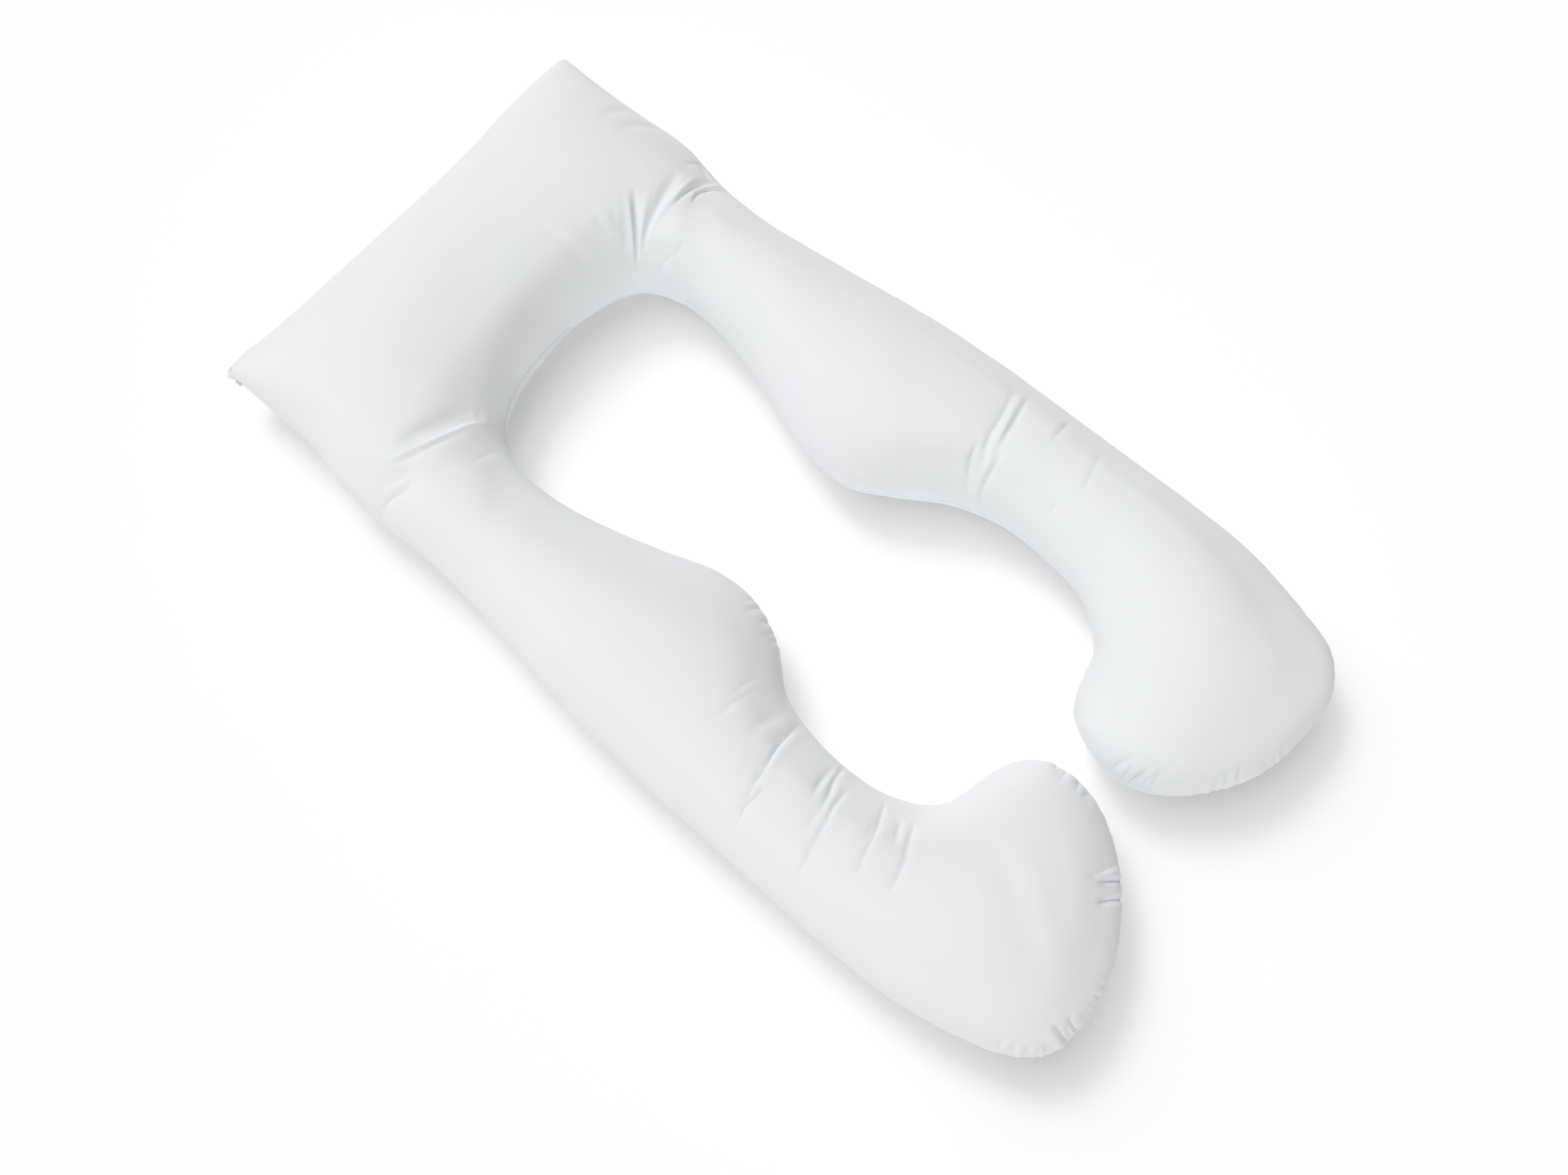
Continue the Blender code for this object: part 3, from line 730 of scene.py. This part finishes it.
def make_weave_group():
    """A plain weave: two sets of threads in each plane, blended by the way the surface faces."""
    group = bpy.data.node_groups.new("plain_weave", "ShaderNodeTree")
    group.interface.new_socket("Pitch", in_out="INPUT", socket_type="NodeSocketFloat")
    group.interface.new_socket("Height", in_out="OUTPUT", socket_type="NodeSocketFloat")
    start = group.nodes.new("NodeGroupInput")
    end = group.nodes.new("NodeGroupOutput")
    place = group.nodes.new("ShaderNodeTexCoord")
    place_parts = add_node(group, "ShaderNodeSeparateXYZ", _0=place.outputs["Object"])
    facing_parts = add_node(group, "ShaderNodeSeparateXYZ", _0=place.outputs["Normal"])
    turns = [add_maths(group, "MULTIPLY", add_maths(group, "DIVIDE", part, start.outputs["Pitch"]), math.pi)
             for part in place_parts.outputs]
    waves = [add_maths(group, "SINE", turn) for turn in turns]
    total = None
    weight = None
    for first, second, across in ((0, 1, 2), (1, 2, 0), (0, 2, 1)):
        over_under = add_maths(group, "MULTIPLY", waves[first], waves[second])
        share = add_maths(group, "POWER", add_maths(group, "ABSOLUTE", facing_parts.outputs[across]), 4.0)
        part = add_maths(group, "MULTIPLY", over_under, share)
        total = part if total is None else add_maths(group, "ADD", total, part)
        weight = share if weight is None else add_maths(group, "ADD", weight, share)
    group.links.new(add_maths(group, "DIVIDE", total, weight), end.inputs["Height"])
    return group


weave = make_weave_group()
cotton = bpy.data.materials.new("white_cotton")
cotton.use_nodes = True
tree = cotton.node_tree
cotton_shader = tree.nodes["Principled BSDF"]
cotton_shader.inputs["Roughness"].default_value = 0.88
cotton_shader.inputs["Sheen Weight"].default_value = 0.12
cotton_shader.inputs["Sheen Roughness"].default_value = 0.5
cotton_shader.inputs["Specular IOR Level"].default_value = 0.25

object_place = tree.nodes.new("ShaderNodeTexCoord").outputs["Object"]
drift = add_node(tree, "ShaderNodeTexNoise", Vector=object_place, Scale=1 / TINT_PATCH, Detail=2.0)
white = add_drifting_colour(tree, drift.outputs["Fac"], COTTON_WHITE, COTTON_COOL)
# Painted shade: the cotton's colour is darkened in a thin line along the seam's valley.
seam_light = add_band(tree, "seam_side", SEAM_SHADE_WIDTH, SEAM_SHADE, 1)
# Painted shade: the cotton's colour is darkened in a thin line along the bottoms of the sharpest creases.
in_crease = add_band(tree, "crease_side", CREASE_SHADE_WIDTH, CREASE_SHADE, 0)
sharpness = tree.nodes.new("ShaderNodeAttribute")
sharpness.attribute_name = "crease_shade"
crease_loss = add_maths(tree, "MULTIPLY", in_crease, sharpness.outputs["Fac"])
crease_light = add_maths(tree, "SUBTRACT", 1.0, crease_loss)
shaded = add_node(tree, "ShaderNodeVectorMath", _0=white)
shaded.operation = "SCALE"
tree.links.new(add_maths(tree, "MULTIPLY", seam_light, crease_light), shaded.inputs["Scale"])
tree.links.new(shaded.outputs[0], cotton_shader.inputs["Base Color"])
threads = tree.nodes.new("ShaderNodeGroup")
threads.node_tree = weave
threads.inputs["Pitch"].default_value = THREAD_PITCH
slubs = add_node(tree, "ShaderNodeTexNoise", Vector=object_place, Scale=420.0, Detail=3.0)
thread_height = add_maths(tree, "MULTIPLY", threads.outputs["Height"], THREADS_TO_SLUBS)
cloth_height = add_maths(tree, "ADD", thread_height, slubs.outputs["Fac"])
raised = add_node(tree, "ShaderNodeBump", Strength=0.12, Distance=0.0002, Height=cloth_height)
tree.links.new(raised.outputs[0], cotton_shader.inputs["Normal"])
cover_mesh.materials.clear()
cover_mesh.materials.append(cotton)

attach(cover, "root")
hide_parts("pillow")

# -------------------------------------------------------------------------------------- zip tape end
# The cover closes with a zip hidden in the head's edge. At the left head corner the end of its
# white woven tape is folded back on itself, held by a bar of close stitches, and stands out of the
# seam.
TAB_WIDTH = 0.0118
TAB_REACH = 0.0068
TAB_SLIPS = (-0.0036, -0.0024, 0)   # along the seam and into it, from the solid tab's middle
TAPE_LAYER = 0.0011
LAYERS_APART = TAPE_LAYER * 1.12
TAPE_EDGE = 0.0004
BEND_RADIUS = TAPE_LAYER * 1.06
BEND_LENGTH = TAB_WIDTH * 0.97
BEND_PLACE = TAB_REACH / 2 - TAPE_LAYER * 0.6
BEND_STEPS = 32
TACK_COUNT = 5
TACK_RADIUS = 0.00022
TACK_STRETCH = (2.0, 3.2, 1.4)
TACK_ROW = TAB_WIDTH * 0.72
TACK_PLACE = (TAB_REACH * 0.33, TAPE_LAYER * 1.10)   # outwards and up from the tab's middle
TAPE_WHITE = (0.78, 0.78, 0.79)
TAPE_GREYER = (0.72, 0.72, 0.73)
TAPE_PITCH = 0.0007


def finished(name, shape, material):
    """Makes a shape, already in its place, a piece that rides on the pillow."""
    bmesh.ops.recalc_face_normals(shape, faces=shape.faces)
    mesh = bpy.data.meshes.new(name)
    shape.to_mesh(mesh)
    shape.free()
    mesh.shade_smooth()
    mesh.materials.append(material)
    piece = bpy.data.objects.new(name, mesh)
    bpy.context.scene.collection.objects.link(piece)
    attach(piece, "root")
    return piece


tab_low, tab_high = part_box("zip_end")
tab_middle = (tab_low + tab_high) / 2
tab_station = station_of(tab_middle.x, tab_middle.y)
tab_out = Vector((*sideways[tab_station], 0))
tab_along = Vector((tab_out.y, -tab_out.x, 0))
tab_place = Matrix((tab_along, tab_out, Vector((0, 0, 1)))).transposed().to_4x4()
tab_place.translation = tab_middle
tab_place @= Matrix.Translation(TAB_SLIPS)

# Two layers, and the bend between them at their outer end.
tape_shape = bmesh.new()
bmesh.ops.create_cube(tape_shape, size=1)
bmesh.ops.scale(tape_shape, verts=tape_shape.verts, vec=(TAB_WIDTH, TAB_REACH, TAPE_LAYER))
upper_layer = tape_shape.verts[:] + tape_shape.edges[:] + tape_shape.faces[:]
lower_layer = bmesh.ops.duplicate(tape_shape, geom=upper_layer)["geom"]
for layer, side in ((upper_layer, 1), (lower_layer, -1)):
    points = [part for part in layer if isinstance(part, bmesh.types.BMVert)]
    bmesh.ops.translate(tape_shape, verts=points, vec=(0, 0, side * LAYERS_APART / 2))
bmesh.ops.bevel(tape_shape, geom=tape_shape.edges[:], offset=TAPE_EDGE, offset_type="OFFSET",
                affect="EDGES", segments=2, profile=0.5, material=-1)
bend = bmesh.ops.create_cone(tape_shape, cap_ends=True, segments=BEND_STEPS,
                             radius1=BEND_RADIUS, radius2=BEND_RADIUS, depth=BEND_LENGTH)
bmesh.ops.rotate(tape_shape, verts=bend["verts"], matrix=Matrix.Rotation(math.pi / 2, 3, "Y"))
bmesh.ops.translate(tape_shape, verts=bend["verts"], vec=(0, BEND_PLACE, 0))
# The bar of stitches on the upper layer.
for number in range(TACK_COUNT):
    across = (number / (TACK_COUNT - 1) - 0.5) * TACK_ROW
    tack = bmesh.ops.create_uvsphere(tape_shape, u_segments=8, v_segments=6, radius=TACK_RADIUS)
    bmesh.ops.scale(tape_shape, verts=tack["verts"], vec=TACK_STRETCH)
    bmesh.ops.translate(tape_shape, verts=tack["verts"], vec=(across, *TACK_PLACE))
bmesh.ops.transform(tape_shape, matrix=tab_place, verts=tape_shape.verts)

tape_finish = bpy.data.materials.new("zip_tape")
tape_finish.use_nodes = True
tape_tree = tape_finish.node_tree
tape_shader = tape_tree.nodes["Principled BSDF"]
tape_shader.inputs["Roughness"].default_value = 0.8
tape_shader.inputs["Sheen Weight"].default_value = 0.1
tape_spot = tape_tree.nodes.new("ShaderNodeTexCoord").outputs["Object"]
# The tape's white drifts at random towards a slightly greyer white.
tape_drift = add_node(tape_tree, "ShaderNodeTexNoise", Vector=tape_spot, Scale=300.0)
tape_colour = add_drifting_colour(tape_tree, tape_drift.outputs["Fac"], TAPE_WHITE, TAPE_GREYER)
tape_tree.links.new(tape_colour, tape_shader.inputs["Base Color"])
tape_threads = tape_tree.nodes.new("ShaderNodeGroup")
tape_threads.node_tree = weave
tape_threads.inputs["Pitch"].default_value = TAPE_PITCH
tape_raised = add_node(tape_tree, "ShaderNodeBump", Strength=0.2, Distance=0.0002,
                       Height=tape_threads.outputs["Height"])
tape_tree.links.new(tape_raised.outputs[0], tape_shader.inputs["Normal"])
tape = finished("zip_tape_end", tape_shape, tape_finish)
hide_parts("zip_end")

# --------------------------------------------------------------------------------------- slider loop
# The loop of the zip's slider, a small bow of grey metal wire. It hangs from the slider, which is
# hidden in the seam, and lies on the tape with its bow towards the seam.
LOOP_RADIUS = 0.0026
LOOP_WIRE = 0.0006
WIRE_SIDES = 10
LOOP_ARC_DEG = 190
LOOP_STEPS = 22
LOOP_TILT_DEG = 15
LOOP_PLACE = (0, 0.0013, 0.0024)   # from the tab's middle: along it, outwards and up
LOOP_GREY = (0.60, 0.60, 0.61)
LOOP_ROUGHNESS = (0.3, 0.5)

loop_shape = bmesh.new()
ring = bmesh.ops.create_circle(loop_shape, cap_ends=True, segments=WIRE_SIDES, radius=LOOP_WIRE)
bmesh.ops.rotate(loop_shape, verts=ring["verts"], matrix=Matrix.Rotation(math.pi / 2, 3, "X"))
bmesh.ops.translate(loop_shape, verts=ring["verts"], vec=(LOOP_RADIUS, 0, 0))
bmesh.ops.spin(loop_shape, geom=loop_shape.faces[:], cent=(0, 0, 0), axis=(0, 0, 1),
               angle=math.radians(-LOOP_ARC_DEG), steps=LOOP_STEPS, use_merge=False, use_duplicate=False)
bmesh.ops.transform(loop_shape, verts=loop_shape.verts,
                    matrix=tab_place @ Matrix.Translation(LOOP_PLACE)
                    @ Matrix.Rotation(math.radians(-LOOP_TILT_DEG), 4, "X"))
loop_finish = bpy.data.materials.new("slider_metal")
loop_finish.use_nodes = True
loop_tree = loop_finish.node_tree
loop_shader = loop_tree.nodes["Principled BSDF"]
loop_shader.inputs["Metallic"].default_value = 1.0
loop_shader.inputs["Base Color"].default_value = (*LOOP_GREY, 1)
loop_spot = loop_tree.nodes.new("ShaderNodeTexCoord").outputs["Object"]
loop_worn = add_node(loop_tree, "ShaderNodeTexNoise", Vector=loop_spot, Scale=900.0)
loop_rough = add_node(loop_tree, "ShaderNodeMapRange", Value=loop_worn.outputs["Fac"],
                      To_Min=LOOP_ROUGHNESS[0], To_Max=LOOP_ROUGHNESS[1])
loop_tree.links.new(loop_rough.outputs[0], loop_shader.inputs["Roughness"])
finished("zip_slider_loop", loop_shape, loop_finish)

# -------------------------------------------------------------------------------------------- studio
# A white floor, a wide soft key light from the picture's upper left, a smaller and lower one on the
# same side that draws the edge of the shadow, a low fill from the lower edge and an even white
# surround.
FLOOR_SIZE = 40.0
FLOOR_WHITE = (0.965, 0.965, 0.965)
SURROUND_STRENGTH = 0.245

floor_shape = bmesh.new()
bmesh.ops.create_grid(floor_shape, x_segments=1, y_segments=1, size=FLOOR_SIZE / 2)
floor_mesh = bpy.data.meshes.new("floor")
floor_shape.to_mesh(floor_mesh)
floor_shape.free()
floor = bpy.data.objects.new("floor", floor_mesh)
bpy.context.scene.collection.objects.link(floor)
floor_paint = bpy.data.materials.new("floor_paint")
floor_paint.use_nodes = True
floor_shader = floor_paint.node_tree.nodes["Principled BSDF"]
floor_shader.inputs["Base Color"].default_value = (*FLOOR_WHITE, 1)
floor_shader.inputs["Roughness"].default_value = 1.0
floor_shader.inputs["Specular IOR Level"].default_value = 0.0
floor_mesh.materials.append(floor_paint)


def add_light(name, brightness, spread_deg, height_deg, side_deg, throws_shadow):
    """A far, soft lamp. Its brightness is a share of a full white, and it stands height_deg above
    the floor on the side given by side_deg: 0 is the picture's right and 90 its top."""
    data = bpy.data.lights.new(name, "SUN")
    data.energy = brightness * math.pi
    data.angle = math.radians(spread_deg)
    data.use_shadow = throws_shadow
    lamp = bpy.data.objects.new(name, data)
    right = camera.matrix_basis.to_3x3() @ Vector((1, 0, 0))
    turn = math.atan2(right.y, right.x) + math.radians(side_deg)
    height = math.radians(height_deg)
    from_there = Vector((math.cos(turn) * math.cos(height), math.sin(turn) * math.cos(height),
                         math.sin(height)))
    lamp.rotation_euler = (-from_there).to_track_quat("-Z", "Y").to_euler()
    bpy.context.scene.collection.objects.link(lamp)


add_light("wide_key", 0.55, 80, 60, 125, True)
add_light("key", 0.22, 20, 50, 125, True)
add_light("fill", 0.39, 20, 20, 266, False)

world = bpy.data.worlds.new("surround")
world.use_nodes = True
background = world.node_tree.nodes["Background"]
background.inputs["Color"].default_value = (1, 1, 1, 1)
background.inputs["Strength"].default_value = SURROUND_STRENGTH
bpy.context.scene.world = world
bpy.context.scene.view_settings.view_transform = "Standard"
